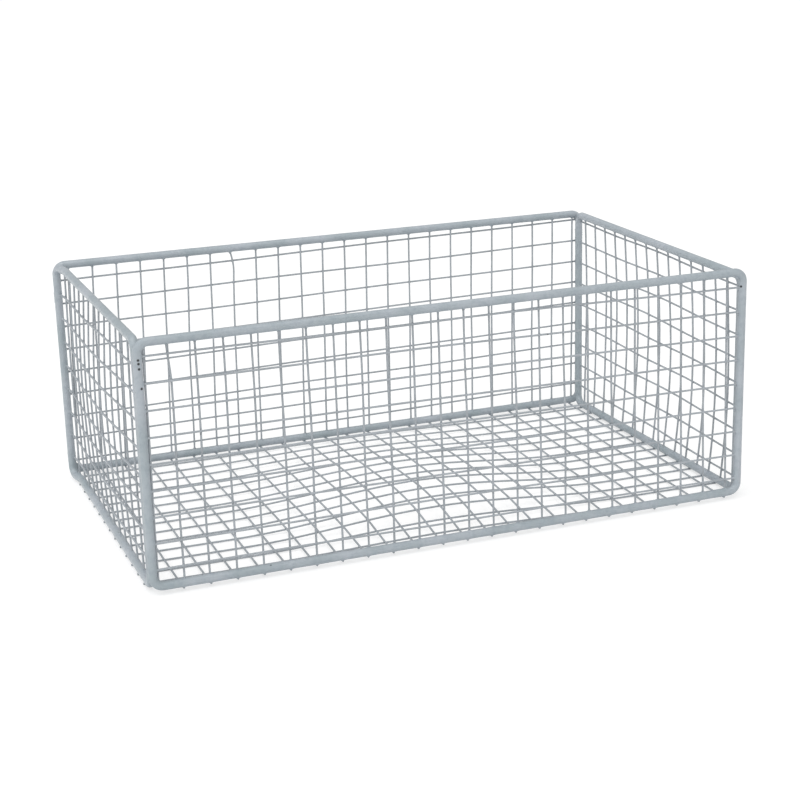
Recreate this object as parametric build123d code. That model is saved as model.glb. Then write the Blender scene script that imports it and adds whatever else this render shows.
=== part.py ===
from build123d import *
from dataclasses import dataclass
from math import cos, radians, sin, sqrt
import os

# Wire locker basket, open at the top, in millimetres.
# X runs along its length, Y from the front wall to the back wall, and Z up.
# Four closed frames of bent rod stand side by side as the walls. Each carries a mesh of thin wire
# on its outer face: an inner layer that lies on the rods, and an outer layer that crosses it and
# comes down onto the rods at its ends. The bottom is a mesh on the undersides of the bottom rails:
# the side frames sit one wire lower, so that its two layers each lie on a pair of rails.

# Rod of the frames, with its coat of paint
ROD = 6.2
BEND = 7.0
BEND_JOINTS = 4
ROD_FIT = 0.3

# Wire of the meshes, six-sided, measured across its flats
WIRE = 1.4
WIRE_SIDES = 6

# Frames between their rods' centre lines
FRONT_LENGTH = 448.0
BACK_LONGER = 6.0
BACK_SHIFT = 1.9
BACK_LOWER = 0.8
DEPTH = 271.0
HEIGHT = 168.0

# How far each side post stands out from the front or back post that it is welded to
FRONT_LEFT_OUT = -0.2
BACK_LEFT_OUT = -2.5
FRONT_RIGHT_OUT = 2.5
BACK_RIGHT_OUT = -2.8

# The right wall's frame is lower at the front
RIGHT_FRONT_DROP = 4.7

# Uprights, from the post's centre line to the nearest wire at the top and at the foot.
# The front mesh has one more, an edge wire close to the left post.
FRONT_UPRIGHTS = 23
FRONT_EDGE_WIRE = 4.3
FRONT_TOP_LEFT = 18.4
FRONT_TOP_RIGHT = 15.6
FRONT_FOOT_LEFT = 18.9
FRONT_FOOT_RIGHT = 12.4
BACK_UPRIGHTS = 24
BACK_TOP_LEFT = 10.1
BACK_TOP_RIGHT = 4.6
BACK_FOOT_LEFT = 5.5
BACK_FOOT_RIGHT = 5.4
SIDE_UPRIGHTS = 15
LEFT_FRONT_MARGIN = 10.4
LEFT_BACK_MARGIN = 10.9
RIGHT_FRONT_MARGIN = 6.9
RIGHT_BACK_MARGIN = 5.1
UPRIGHT_OVER = 1.2
UPRIGHT_UNDER = 0.5

# Behind its first one, the right wall's uprights are pushed forwards at half height and backwards
# at the foot, most at the front
FRONT_BOW = -7.5
BACK_BOW = -3.9
FRONT_LEAN = 2.3
BACK_LEAN = 0.5

# Level wires, from the top rail's centre line down to the first one at each end, and from the
# bottom rail's centre line up to the last one at the end that is on the left from outside
LEVEL_WIRES = 9
FRONT_LEFT_START = 8.1
FRONT_RIGHT_START = 9.9
FRONT_LEVEL_FOOT = 13.9
BACK_LEFT_START = 13.4
BACK_RIGHT_START = 6.1
BACK_LEVEL_FOOT = 13.1
LEFT_FRONT_START = 12.8
LEFT_BACK_START = 15.4
LEFT_LEVEL_FOOT = 3.8
RIGHT_FRONT_START = 10.2
RIGHT_BACK_START = 8.1
RIGHT_LEVEL_FOOT = 6.6
LEVEL_TAIL = 2.0
LEVEL_LAND = 1.1
CROSSING_ROOM = 1.1

# Bottom mesh: wires along the depth under the front and back rails, from the two front posts'
# centre lines to the first, to the last and to an edge wire by the right rail, and wires along
# the length under those and under the side rails, from the front and back rails' centre lines
BOTTOM_WIRES_ACROSS = 22
DEPTH_FRONT_LEFT = 20.5
DEPTH_FRONT_RIGHT = 32.5
DEPTH_BACK_LEFT = 22.5
DEPTH_BACK_RIGHT = 24.5
EDGE_WIRE_FRONT = 10.9
EDGE_WIRE_BACK = 4.1
BOTTOM_WIRES_ALONG = 14
LENGTH_LEFT_FRONT = 20.6
LENGTH_LEFT_BACK = 6.9
LENGTH_RIGHT_FRONT = 14.7
LENGTH_RIGHT_BACK = 12.4
BOTTOM_TAIL = 3.3

# Welds in the two grooves beside each pair of posts, in the side wall's highest and lowest bays
# of level wires, and above the bends
WELD_CROWN = 0.5
WELD_FIT = 0.05
WELD_REACH = 45.0
WELD_ROOT = 14.0
POST_WELD_ROOM = 1.5

# Sizes worked out from these
ROD_RADIUS = ROD / 2
ROD_PITCH = ROD + ROD_FIT
INNER_LAYER = ROD_RADIUS + WIRE / 2
OUTER_LAYER = INNER_LAYER + WIRE
SIDE_LOWER = WIRE
BACK_LENGTH = FRONT_LENGTH + BACK_LONGER


@dataclass
class Wall:
    """A wall's frame, seen from outside: origin at the foot of its left-hand post."""

    plane: Plane
    length: float
    left_height: float
    right_height: float

    def top(self, along):
        """Height of the top rail's centre line."""
        return self.left_height + (self.right_height - self.left_height) * along / self.length


@dataclass
class Mesh:
    """Places of a wall's uprights along it: at the top rail, at half height, and at the foot."""

    tops: list
    middles: list
    feet: list

    @property
    def first(self):
        """Least distance of the uprights from the left-hand post."""
        return min(self.tops[0], self.middles[0], self.feet[0])

    @property
    def last(self):
        """Greatest distance of the uprights from the left-hand post."""
        return max(self.tops[-1], self.middles[-1], self.feet[-1])


def stand_wall(left_post, right_post, left_drop=0.0, right_drop=0.0):
    """Set a wall on the feet of its two posts, left and right as seen from outside."""
    run = right_post - left_post
    plane = Plane(origin=left_post, x_dir=run, z_dir=run.cross(Vector(0, 0, 1)))
    left_height = HEIGHT - left_drop - left_post.Z
    return Wall(plane, run.length, left_height, HEIGHT - right_drop - right_post.Z)


def side_post(post, outward, outward_gap, inward):
    """Foot of the side post beside a front or back post: out by the gap, and a rod's pitch away."""
    beside = post + outward * outward_gap + inward * sqrt(ROD_PITCH**2 - outward_gap**2)
    return beside - Vector(0, 0, SIDE_LOWER)


def rod_loop(corners):
    """Closed frame of round rod: straight runs, and at each corner a bend of short mitred ones."""
    points = []
    for bend in FilletPolyline(*corners, radius=BEND, close=True).edges().filter_by(GeomType.CIRCLE):
        half_turn = bend.length / BEND / BEND_JOINTS / 2
        for joint in range(BEND_JOINTS):
            spoke = bend @ ((2 * joint + 1) / (2 * BEND_JOINTS)) - bend.arc_center
            points.append(bend.arc_center + spoke / cos(half_turn))
    path = Polyline(*points, close=True)
    section = Plane(origin=path @ 0, z_dir=path % 0) * Circle(ROD_RADIUS)
    return sweep(section, path=path, transition=Transition.RIGHT)


def wire(points, lateral):
    """Wire along straight runs in one plane, with its flats square to that layer's depth."""
    path = Polyline(*points)
    start = Plane(origin=path @ 0, x_dir=lateral, z_dir=path % 0)
    section = start * RegularPolygon(WIRE / 2, WIRE_SIDES, major_radius=False)
    if len(points) == 2:
        return extrude(section, amount=path.length)
    return sweep(section, path=path, transition=Transition.RIGHT)


def spread(first, last, count):
    """Places from first to last, evenly spaced."""
    return [first + (last - first) * i / (count - 1) for i in range(count)]


def wall_frame(wall):
    """The wall's rod, round its rails and posts."""
    corners = [(0, 0), (wall.length, 0), (wall.length, wall.right_height), (0, wall.left_height)]
    return wall.plane.location * rod_loop(corners)


def uprights(wall, mesh):
    """Inner layer: wires from the bottom rail to the top rail."""
    made = []
    for top, middle, foot in zip(mesh.tops, mesh.middles, mesh.feet):
        points = [
            (foot, -UPRIGHT_UNDER, INNER_LAYER),
            (middle, wall.top(middle) / 2, INNER_LAYER),
            (top, wall.top(top) + UPRIGHT_OVER, INNER_LAYER),
        ]
        if middle == (top + foot) / 2:
            del points[1]
        run = Vector(*points[-1]) - Vector(*points[0])
        made.append(wall.plane.location * wire(points, Vector(run.Y, -run.X, 0)))
    return made


def level_spacing(wall, left_start, foot):
    """Distance between a wall's level wires, from the first one's and the last one's places."""
    return (wall.left_height - left_start - foot) / (LEVEL_WIRES - 1)


def level_wires(wall, mesh, left_start, right_start, spacing):
    """Outer layer: wires across the uprights, let down onto the posts at both ends."""
    stations = [
        (-LEVEL_TAIL, INNER_LAYER),
        (LEVEL_LAND, INNER_LAYER),
        (mesh.first - CROSSING_ROOM, OUTER_LAYER),
        (mesh.last + CROSSING_ROOM, OUTER_LAYER),
        (wall.length - LEVEL_LAND, INNER_LAYER),
        (wall.length + LEVEL_TAIL, INNER_LAYER),
    ]
    height = wall.left_height - left_start
    rise = (wall.right_height - right_start - height) / wall.length
    points = [(x, height + rise * x, depth) for x, depth in stations]
    first = wire(points, Vector(-rise, 1, 0))
    return [wall.plane.location * Pos(0, -i * spacing, 0) * first for i in range(LEVEL_WIRES)]


def groove_weld(start, direction, across, side, length):
    """Bead between two rods: start on the first rod's centre line, across towards the second."""
    seat = ROD_RADIUS + WELD_FIT

    def on_first(angle):
        return Vector(seat * cos(radians(angle)), side * seat * sin(radians(angle)))

    def on_second(angle):
        point = on_first(angle)
        return Vector(ROD_PITCH - point.X, point.Y)

    middle = (WELD_REACH + WELD_ROOT) / 2
    crown = Vector(ROD_PITCH / 2, side * WELD_CROWN + on_first(WELD_REACH).Y)
    angles = (WELD_REACH, middle, WELD_ROOT)
    sides = [on_second(angle) for angle in angles] + [on_first(angle) for angle in reversed(angles)]
    outline = [
        ThreePointArc(on_first(WELD_REACH), crown, on_second(WELD_REACH)),
        Polyline(*sides),
    ]
    bead = extrude(make_face(outline), amount=length, dir=(0, 0, 1))
    return Plane(origin=start, x_dir=across, z_dir=direction).location * bead


def post_welds(post, neighbour, level, spacing):
    """Beads in both grooves between two posts, in the bay above a level wire of the side wall."""
    up = Vector(0, 0, 1)
    across = Vector(neighbour.X - post.X, neighbour.Y - post.Y, 0)
    foot = max(level + WIRE / 2, BEND) + POST_WELD_ROOM
    head = level + spacing - WIRE / 2 - POST_WELD_ROOM
    return [groove_weld(post + up * foot, up, across, side, head - foot) for side in (-1, 1)]


# Feet of the front and back posts
front_left = Vector(-FRONT_LENGTH / 2, -DEPTH / 2, 0)
front_right = Vector(FRONT_LENGTH / 2, -DEPTH / 2, 0)
back_left = Vector(BACK_SHIFT - BACK_LENGTH / 2, DEPTH / 2, 0)
back_right = Vector(BACK_SHIFT + BACK_LENGTH / 2, DEPTH / 2, 0)

# Feet of the side posts, which stand between the front and the back frame
left = Vector(-1, 0, 0)
right = Vector(1, 0, 0)
forward = Vector(0, -1, 0)
backward = Vector(0, 1, 0)
left_front = side_post(front_left, left, FRONT_LEFT_OUT, backward)
left_back = side_post(back_left, left, BACK_LEFT_OUT, forward)
right_front = side_post(front_right, right, FRONT_RIGHT_OUT, backward)
right_back = side_post(back_right, right, BACK_RIGHT_OUT, forward)

front = stand_wall(front_left, front_right)
back = stand_wall(back_right, back_left, BACK_LOWER, BACK_LOWER)
left_wall = stand_wall(left_back, left_front, left_drop=BACK_LOWER)
right_wall = stand_wall(right_front, right_back, RIGHT_FRONT_DROP, BACK_LOWER)


def straight_mesh(tops, feet):
    """Mesh whose uprights are straight."""
    return Mesh(tops, [(top + foot) / 2 for top, foot in zip(tops, feet)], feet)


# Meshes of the walls
front_tops = spread(FRONT_TOP_LEFT, front.length - FRONT_TOP_RIGHT, FRONT_UPRIGHTS)
front_feet = spread(FRONT_FOOT_LEFT, front.length - FRONT_FOOT_RIGHT, FRONT_UPRIGHTS)
front_mesh = straight_mesh([FRONT_EDGE_WIRE] + front_tops, [FRONT_EDGE_WIRE] + front_feet)
back_mesh = straight_mesh(
    spread(BACK_TOP_RIGHT, back.length - BACK_TOP_LEFT, BACK_UPRIGHTS),
    spread(BACK_FOOT_RIGHT, back.length - BACK_FOOT_LEFT, BACK_UPRIGHTS),
)
left_places = spread(LEFT_BACK_MARGIN, left_wall.length - LEFT_FRONT_MARGIN, SIDE_UPRIGHTS)
left_mesh = straight_mesh(left_places, left_places)
right_places = spread(RIGHT_FRONT_MARGIN, right_wall.length - RIGHT_BACK_MARGIN, SIDE_UPRIGHTS)
bows = [0] + spread(FRONT_BOW, BACK_BOW, SIDE_UPRIGHTS - 1)
leans = [0] + spread(FRONT_LEAN, BACK_LEAN, SIDE_UPRIGHTS - 1)
right_mesh = Mesh(
    right_places,
    [place + bow for place, bow in zip(right_places, bows)],
    [place + lean for place, lean in zip(right_places, leans)],
)

# Bottom mesh, straight wires in two layers that end a little past the rods
half_depth = DEPTH / 2
depth_fronts = spread(DEPTH_FRONT_LEFT, FRONT_LENGTH - DEPTH_FRONT_RIGHT, BOTTOM_WIRES_ACROSS)
depth_fronts.append(FRONT_LENGTH - EDGE_WIRE_FRONT)
depth_backs = spread(DEPTH_BACK_LEFT, FRONT_LENGTH - DEPTH_BACK_RIGHT, BOTTOM_WIRES_ACROSS)
depth_backs.append(FRONT_LENGTH - EDGE_WIRE_BACK)
bottom_depth_wires = []
for front_place, back_place in zip(depth_fronts, depth_backs):
    slant = (back_place - front_place) / DEPTH
    middle = front_left.X + (front_place + back_place) / 2
    reach = half_depth + BOTTOM_TAIL
    points = [(middle + slant * y, y, -INNER_LAYER) for y in (-reach, reach)]
    bottom_depth_wires.append(wire(points, (1, -slant, 0)))


def rail_point(front_post, back_post, y):
    """Point on a side rail's centre line at a place along the depth."""
    return front_post + (back_post - front_post) * ((y - front_post.Y) / (back_post.Y - front_post.Y))


left_ends = spread(LENGTH_LEFT_FRONT - half_depth, half_depth - LENGTH_LEFT_BACK, BOTTOM_WIRES_ALONG)
right_ends = spread(LENGTH_RIGHT_FRONT - half_depth, half_depth - LENGTH_RIGHT_BACK, BOTTOM_WIRES_ALONG)
bottom_length_wires = []
for left_end, right_end in zip(left_ends, right_ends):
    start = rail_point(left_front, left_back, left_end)
    end = rail_point(right_front, right_back, right_end)
    run = (end - start).normalized()
    tail = run * BOTTOM_TAIL
    below = Vector(0, 0, -INNER_LAYER)
    bottom_length_wires.append(wire([start - tail + below, end + tail + below], (-run.Y, run.X, 0)))

front_spacing = level_spacing(front, FRONT_LEFT_START, FRONT_LEVEL_FOOT)
back_spacing = level_spacing(back, BACK_RIGHT_START, BACK_LEVEL_FOOT)
left_spacing = level_spacing(left_wall, LEFT_BACK_START, LEFT_LEVEL_FOOT)
right_spacing = level_spacing(right_wall, RIGHT_FRONT_START, RIGHT_LEVEL_FOOT)

nodes = {
    "front_frame": [wall_frame(front)],
    "back_frame": [wall_frame(back)],
    "left_frame": [wall_frame(left_wall)],
    "right_frame": [wall_frame(right_wall)],
    "front_uprights": uprights(front, front_mesh),
    "front_level_wires": level_wires(
        front, front_mesh, FRONT_LEFT_START, FRONT_RIGHT_START, front_spacing
    ),
    "back_uprights": uprights(back, back_mesh),
    "back_level_wires": level_wires(
        back, back_mesh, BACK_RIGHT_START, BACK_LEFT_START, back_spacing
    ),
    "left_uprights": uprights(left_wall, left_mesh),
    "left_level_wires": level_wires(
        left_wall, left_mesh, LEFT_BACK_START, LEFT_FRONT_START, left_spacing
    ),
    "right_uprights": uprights(right_wall, right_mesh),
    "right_level_wires": level_wires(
        right_wall, right_mesh, RIGHT_FRONT_START, RIGHT_BACK_START, right_spacing
    ),
    "bottom_depth_wires": bottom_depth_wires,
    "bottom_length_wires": bottom_length_wires,
}

# Beads beside each pair of posts, with the height of the side wall's first level wire there
corners = {
    "front_left": (front_left, left_front, HEIGHT - LEFT_FRONT_START, left_spacing),
    "front_right": (
        front_right, right_front, HEIGHT - RIGHT_FRONT_DROP - RIGHT_FRONT_START, right_spacing
    ),
    "back_left": (back_left, left_back, HEIGHT - BACK_LOWER - LEFT_BACK_START, left_spacing),
    "back_right": (back_right, right_back, HEIGHT - BACK_LOWER - RIGHT_BACK_START, right_spacing),
}
for corner, (post, neighbour, first_level, spacing) in corners.items():
    last_level = first_level - (LEVEL_WIRES - 1) * spacing
    nodes[f"{corner}_upper_welds"] = post_welds(post, neighbour, first_level - spacing, spacing)
    nodes[f"{corner}_lower_welds"] = post_welds(post, neighbour, last_level, spacing)

# The origin is moved to the middle of the basket's footprint, at the level that it stands on
solids = [solid for group in nodes.values() for shape in group for solid in shape.solids()]
box = solids[0].bounding_box()
for solid in solids[1:]:
    box = box.add(solid.bounding_box())
to_origin = Pos(-box.center().X, -box.center().Y, -box.min.Z)

os.makedirs("parts", exist_ok=True)
for name, group in nodes.items():
    moved = [to_origin * solid for shape in group for solid in shape.solids()]
    export_step(moved[0] if len(moved) == 1 else Compound(children=moved), f"parts/{name}.step")

print("overall size", box.size)
print("origin moved by", to_origin.position)
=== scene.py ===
"""Wire locker basket in a plain pale studio: bent and painted rods, welded mesh, and their welds."""
import logging
import math
import random
from dataclasses import dataclass, field, replace
from enum import Enum
from typing import Dict, Iterable, List, Optional, Sequence, Tuple

import bpy
from mathutils import Matrix, Vector


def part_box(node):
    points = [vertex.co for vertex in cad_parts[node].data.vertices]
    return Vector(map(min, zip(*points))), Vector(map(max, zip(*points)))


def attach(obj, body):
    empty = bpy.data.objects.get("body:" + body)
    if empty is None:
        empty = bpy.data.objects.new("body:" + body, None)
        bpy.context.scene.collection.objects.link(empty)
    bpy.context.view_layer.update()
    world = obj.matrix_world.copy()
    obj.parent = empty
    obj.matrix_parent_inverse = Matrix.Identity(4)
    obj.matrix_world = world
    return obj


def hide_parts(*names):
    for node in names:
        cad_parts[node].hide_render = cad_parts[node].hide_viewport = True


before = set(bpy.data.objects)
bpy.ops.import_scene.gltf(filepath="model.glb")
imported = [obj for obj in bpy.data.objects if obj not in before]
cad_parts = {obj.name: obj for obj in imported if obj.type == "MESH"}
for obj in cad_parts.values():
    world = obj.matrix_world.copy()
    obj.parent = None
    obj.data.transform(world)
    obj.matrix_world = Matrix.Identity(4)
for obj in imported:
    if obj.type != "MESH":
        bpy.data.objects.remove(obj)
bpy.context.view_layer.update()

MM = 0.001
UP = Vector((0.0, 0.0, 1.0))
Socket = bpy.types.NodeSocket
Span = Tuple[float, float]
log = logging.getLogger("basket")


# Sizes, in millimetres, as the part's own drawing gives them


@dataclass(frozen=True)
class Drawing:
    """The basket's driving sizes in millimetres, between the rods' centre lines.

    An out is how far a side post stands outside the front or back post beside it. The drop and back_lower
    say how much lower a top rail lies there than the front wall's. The walls' wires measure wire_seen with
    their paint, and the bottom's layers lie as deep as the drawing's wire.
    """

    rod: float = 6.2
    bend: float = 7.0
    rod_fit: float = 0.3
    wire: float = 1.4
    wire_seen: float = 1.5
    front_length: float = 448.0
    back_length: float = 454.0
    back_shift: float = 1.9
    back_lower: float = 0.8
    depth: float = 271.0
    height: float = 168.0
    front_left_out: float = -0.2
    back_left_out: float = -2.5
    front_right_out: float = 2.5
    back_right_out: float = -2.8
    right_front_drop: float = 4.7
    shoulder_run: float = 18.0

    @property
    def rod_radius(self) -> float:
        """Half the painted rod's thickness."""
        return self.rod / 2

    @property
    def rod_pitch(self) -> float:
        """Distance between the centre lines of two rods side by side."""
        return self.rod + self.rod_fit

    @property
    def inner_layer(self) -> float:
        """Distance of the wires that lie on the rods from the rods' centre lines."""
        return self.rod_radius + self.wire / 2

    @property
    def outer_layer(self) -> float:
        """Distance of the wires that cross over those."""
        return self.inner_layer + self.wire


SIZE = Drawing()

# Where a wire's sway may start in its wave, and the shares of the largest sway that wires have
SWAY_START = (0.0, 6.3)
SWAY_SHARE = (0.3, 1.0)


class Side(Enum):
    """The basket's four walls."""

    FRONT = "front"
    BACK = "back"
    LEFT = "left"
    RIGHT = "right"


def spread(first: float, last: float, count: int) -> List[float]:
    """Places from first to last, evenly spaced.

    Args:
        first: The first place.
        last: The last place.
        count: How many places there are.

    Returns:
        The places in order.
    """
    return [first + (last - first) * i / (count - 1) for i in range(count)]


def hump(share: float) -> float:
    """Smooth hump over a run: one in its middle, nothing at its ends and beyond them."""
    return math.sin(math.pi * min(max(share, 0), 1))


def arc(rise: float, share: float) -> float:
    """Height of a flat arc of that rise at a share of its run."""
    return rise * 4 * share * (1 - share)


@dataclass
class Panel:
    """A wall's plane seen from outside, in millimetres in the shared frame.

    The origin is the foot of the left-hand post on the bottom rail's centre line. The mesh stands out by
    the bulge in its middle and in waves that the seed sets, and it follows a left-hand post that leans out
    by the shoulder for a share of the way.
    """

    origin: Vector
    along: Vector
    length: float
    left_height: float
    right_height: float
    bulge: float
    seed: int
    shoulder: float = 0.0
    wave: float = 0.7
    wave_along: float = 61.0
    wave_up: float = 37.0
    wave_step: float = 2.1
    follow: float = 0.35

    @property
    def outward(self) -> Vector:
        """Direction out of the basket, square to the panel."""
        return self.along.cross(UP)

    def top(self, along: float) -> float:
        """Height of the top rail's centre line at a place along the panel."""
        return self.left_height + (self.right_height - self.left_height) * along / self.length

    def swell(self, along: float, up: float) -> float:
        """How far the mesh stands out of its plane, in slow uneven waves that die out at the rods.

        Args:
            along: Place along the panel.
            up: Height on the panel.

        Returns:
            The distance outward.
        """
        edge = hump(along / self.length) * hump(up / self.left_height)
        waves = math.sin(along / self.wave_along + self.seed)
        waves *= math.cos(up / self.wave_up + self.wave_step * self.seed)
        return edge * (self.bulge + self.wave * waves) + self.follow * self.set_out(along)

    def set_out(self, along: float) -> float:
        """How far the rails and the left-hand post stand out of the panel's plane, by the shoulder."""
        return self.shoulder * max(0.0, 1.0 - along / SIZE.shoulder_run)

    def at(self, along: float, up: float, out: float = 0.0) -> Vector:
        """A point of the panel in metres.

        Args:
            along: Place along the panel.
            up: Height on the panel.
            out: Distance outward.

        Returns:
            The point in the shared frame.
        """
        return (self.origin + self.along * along + UP * up + self.outward * out) * MM


@dataclass
class Line:
    """One wire's or rod's guide: points in metres, and whether it closes on itself."""

    points: List[Vector]
    closed: bool = False

    @property
    def ends(self) -> Tuple[Tuple[Vector, Vector], ...]:
        """Both end points, each with the point next to it."""
        return (self.points[0], self.points[1]), (self.points[-1], self.points[-2])


# Node trees


class Nodes:
    """A node tree that is filled through small helpers."""

    graph: bpy.types.NodeTree

    def add(self, kind: str, inputs: Optional[Dict[object, object]] = None,
            **options: object) -> bpy.types.Node:
        """Add a node, set its options, and then link or set its inputs.

        Args:
            kind: The node's type.
            inputs: Socket name or place to a value or to another node's output.
            **options: The node's own properties.

        Returns:
            The new node.
        """
        node = self.graph.nodes.new(kind)
        for option, value in options.items():
            setattr(node, option, value)
        for key, value in (inputs or {}).items():
            self.feed(node.inputs[key], value)
        return node

    def feed(self, socket: Socket, value: object) -> None:
        """Link an input to another node's output, or set it to a plain value."""
        if isinstance(value, Socket):
            self.graph.links.new(value, socket)
        else:
            socket.default_value = value

    def math(self, operation: str, *values: object) -> Socket:
        """Add a sum of one or more numbers and return its result."""
        return self.add("ShaderNodeMath", dict(enumerate(values)), operation=operation).outputs[0]

    def noise(self, place: Socket, scale: object, detail: float, roughness: float, seed: object) -> Socket:
        """Cloudy pattern from 0 to 1.

        Args:
            place: Where on the piece it is read.
            scale: How many patches there are in a metre.
            detail: How many finer patterns lie over the first.
            roughness: How strong those are.
            seed: Number that sets the pattern apart from others.

        Returns:
            The pattern.
        """
        return self.add("ShaderNodeTexNoise", {
            "Vector": place, "W": seed, "Scale": scale, "Detail": detail, "Roughness": roughness,
        }, noise_dimensions="4D").outputs[0]


class Tree(Nodes):
    """A Geometry Nodes tree with named inputs."""

    def __init__(self, name: str, inputs: Sequence[Tuple[str, str, object]]):
        """Make an empty tree.

        Args:
            name: What the tree makes, in plain words.
            inputs: Name, socket type and default value of each input after the geometry.
        """
        self.graph = bpy.data.node_groups.new(name, "GeometryNodeTree")
        face = self.graph.interface
        face.new_socket("Geometry", in_out="INPUT", socket_type="NodeSocketGeometry")
        self.sockets: Dict[str, str] = {}
        for label, kind, value in inputs:
            socket = face.new_socket(label, in_out="INPUT", socket_type=kind)
            if value is not None:
                socket.default_value = value
            self.sockets[label] = socket.identifier
        face.new_socket("Geometry", in_out="OUTPUT", socket_type="NodeSocketGeometry")
        self.start = self.graph.nodes.new("NodeGroupInput")
        self.end = self.graph.nodes.new("NodeGroupOutput")

    def given(self, label: str) -> Socket:
        """The tree's own input of that name."""
        return self.start.outputs[label]

    def evenly(self, curve: Socket) -> Socket:
        """The curve with points at the tree's ring spacing."""
        return self.add("GeometryNodeResampleCurve", {
            "Curve": curve, "Length": self.given("Ring Spacing"),
        }, mode="LENGTH").outputs[0]

    def tube(self, curve: Socket, more: Optional[Dict[object, object]] = None) -> Socket:
        """Sweep a ring of the tree's radius and sides along a curve.

        Args:
            curve: The guide.
            more: Further inputs of the sweep, such as its caps.

        Returns:
            The skin.
        """
        ring = self.add("GeometryNodeCurvePrimitiveCircle", {
            "Resolution": self.given("Sides"), "Radius": self.given("Radius"),
        })
        sweep = {"Curve": curve, "Profile Curve": ring.outputs[0], **(more or {})}
        return self.add("GeometryNodeCurveToMesh", sweep).outputs[0]

    def lumps(self, size: Socket, depth: Socket) -> Socket:
        """Uneven thickness of a coat of paint, from minus to plus half the depth.

        Args:
            size: Size of a lump in metres.
            depth: Difference between thin and thick places in metres.

        Returns:
            The thickness to add.
        """
        place = self.add("GeometryNodeInputPosition").outputs[0]
        scale = self.math("DIVIDE", 1.0, size)
        noise = self.noise(place, scale, detail=2.0, roughness=0.5, seed=self.given("Seed"))
        return self.math("MULTIPLY", self.math("SUBTRACT", noise, 0.5), depth)

    def coat(self) -> Socket:
        """Uneven thickness of the tree's own coat, from its lump size and depth."""
        return self.lumps(self.given("Lump Size"), self.given("Lump Depth"))

    def push_out(self, geometry: Socket, distance: Socket) -> Socket:
        """Move a surface along its own normals.

        Args:
            geometry: The surface.
            distance: How far each point moves, in metres.

        Returns:
            The moved surface.
        """
        normal = self.add("GeometryNodeInputNormal").outputs[0]
        offset = self.add("ShaderNodeVectorMath", {0: normal, "Scale": distance}, operation="SCALE")
        moved = self.add("GeometryNodeSetPosition", {"Geometry": geometry, "Offset": offset.outputs[0]})
        return moved.outputs[0]

    def note(self, geometry: Socket, name: str, value: Socket) -> Socket:
        """Store a number with each point, for the finish to read.

        Args:
            geometry: The surface.
            name: The number's name.
            value: The number.

        Returns:
            The surface with its numbers.
        """
        return self.add("GeometryNodeStoreNamedAttribute", {
            "Geometry": geometry, "Name": name, "Value": value,
        }, data_type="FLOAT", domain="POINT").outputs[0]

    def finish(self, geometry: Socket) -> None:
        """Make real mesh of the result, dress it in the finish that the tree is given, and end the tree."""
        smooth = self.add("GeometryNodeSetShadeSmooth", {"Geometry": geometry})
        real = self.add("GeometryNodeRealizeInstances", {"Geometry": smooth.outputs[0]})
        dressed = self.add("GeometryNodeSetMaterial", {
            "Geometry": real.outputs[0], "Material": self.given("Finish"),
        })
        self.feed(self.end.inputs[0], dressed.outputs[0])


def rod_tree() -> Tree:
    """Bent rod under thick paint, with a fillet of paint raised round each wire that is welded to it."""
    # The skin is drawn a trace thin, since the lumps of paint stand out from it
    thinner = 0.06
    tree = Tree("Bent painted rod", [
        ("Bend", "NodeSocketFloat", SIZE.bend * MM),
        ("Bend Points", "NodeSocketInt", 24),
        ("Radius", "NodeSocketFloat", (SIZE.rod_radius - thinner) * MM),
        ("Sides", "NodeSocketInt", 28),
        ("Ring Spacing", "NodeSocketFloat", 0.8 * MM),
        ("Lump Size", "NodeSocketFloat", 9.0 * MM),
        ("Lump Depth", "NodeSocketFloat", 0.2 * MM),
        ("Fine Lump Size", "NodeSocketFloat", 0.22),
        ("Fine Lump Depth", "NodeSocketFloat", 0.35),
        ("Landings", "NodeSocketObject", None),
        ("Fillet Reach", "NodeSocketFloat", 2.4 * MM),
        ("Fillet Height", "NodeSocketFloat", 0.65 * MM),
        ("Fillet Hollow", "NodeSocketFloat", 1.6),
        ("Seed", "NodeSocketFloat", 1.0),
        ("Finish", "NodeSocketMaterial", None),
    ])
    bend = tree.add("GeometryNodeFilletCurve", {
        "Curve": tree.given("Geometry"), "Count": tree.given("Bend Points"), "Radius": tree.given("Bend"),
    }, mode="POLY")
    skin = tree.tube(tree.evenly(bend.outputs[0]))
    marks = tree.add("GeometryNodeObjectInfo", {"Object": tree.given("Landings")})
    near = tree.add("GeometryNodeProximity", {0: marks.outputs["Geometry"]}, target_element="EDGES")
    away = tree.math("DIVIDE", near.outputs["Distance"], tree.given("Fillet Reach"))
    closeness = tree.math("MAXIMUM", tree.math("SUBTRACT", 1.0, away), 0.0)
    skin = tree.note(skin, "weld", closeness)
    # How far each point faces down, kept for the finish to paint shade onto the rods' under sides
    facing = tree.add("ShaderNodeSeparateXYZ", {0: tree.add("GeometryNodeInputNormal").outputs[0]})
    below = tree.math("MAXIMUM", tree.math("MULTIPLY", facing.outputs["Z"], -1.0), 0.0)
    skin = tree.note(skin, "under", below)
    fine = tree.lumps(tree.math("MULTIPLY", tree.given("Lump Size"), tree.given("Fine Lump Size")),
                      tree.math("MULTIPLY", tree.given("Lump Depth"), tree.given("Fine Lump Depth")))
    fillet = tree.math("MULTIPLY", tree.math("POWER", closeness, tree.given("Fillet Hollow")),
                       tree.given("Fillet Height"))
    total = tree.math("ADD", tree.math("ADD", tree.coat(), fine), fillet)
    tree.finish(tree.push_out(skin, total))
    return tree


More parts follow.
